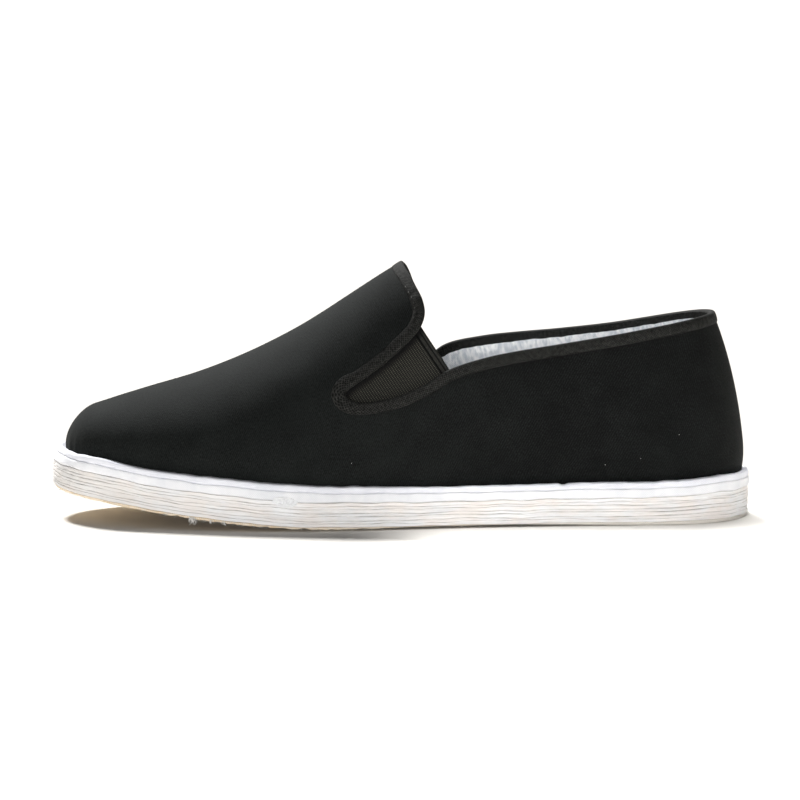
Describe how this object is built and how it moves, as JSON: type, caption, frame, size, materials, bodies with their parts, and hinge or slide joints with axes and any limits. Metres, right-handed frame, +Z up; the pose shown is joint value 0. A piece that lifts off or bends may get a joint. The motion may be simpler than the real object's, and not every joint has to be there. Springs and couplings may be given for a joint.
{
  "type": "cloth shoe",
  "caption": "Low slip-on cloth shoe: black fabric upper with elastic side gussets and a bound opening, on a thick flat white sole of layered cloth.",
  "frame": {"origin": "on the floor under the middle of the sole's length and width", "axes": "+Z up, the heel towards +X and the toe towards -X, the outer (lateral) side of this left shoe towards -Y and its inner (medial) side towards +Y"},
  "size_m": [0.282, 0.0976, 0.1035],
  "materials": {
    "black_twill": "matt black cotton twill",
    "binding_tape": "matt black woven cotton tape",
    "elastic_webbing": "ribbed black elastic webbing",
    "white_bound_cloth": "matt white cotton cloth with rolled edges",
    "stitched_plies": "matt off-white layered cotton cloth, cut edges showing",
    "cream_ply": "matt cream cotton cloth",
    "insole_cloth": "matt white cotton cloth"
  },
  "bodies": {
    "root": {"upper": "black_twill", "opening_binding": "binding_tape", "gusset_lateral": "elastic_webbing", "gusset_medial": "elastic_webbing", "insole": "insole_cloth", "sole_band_upper": "white_bound_cloth", "sole_band_lower": "white_bound_cloth", "sole_core": "stitched_plies", "sole_bottom_ply": "cream_ply"}
  },
  "joints": []
}
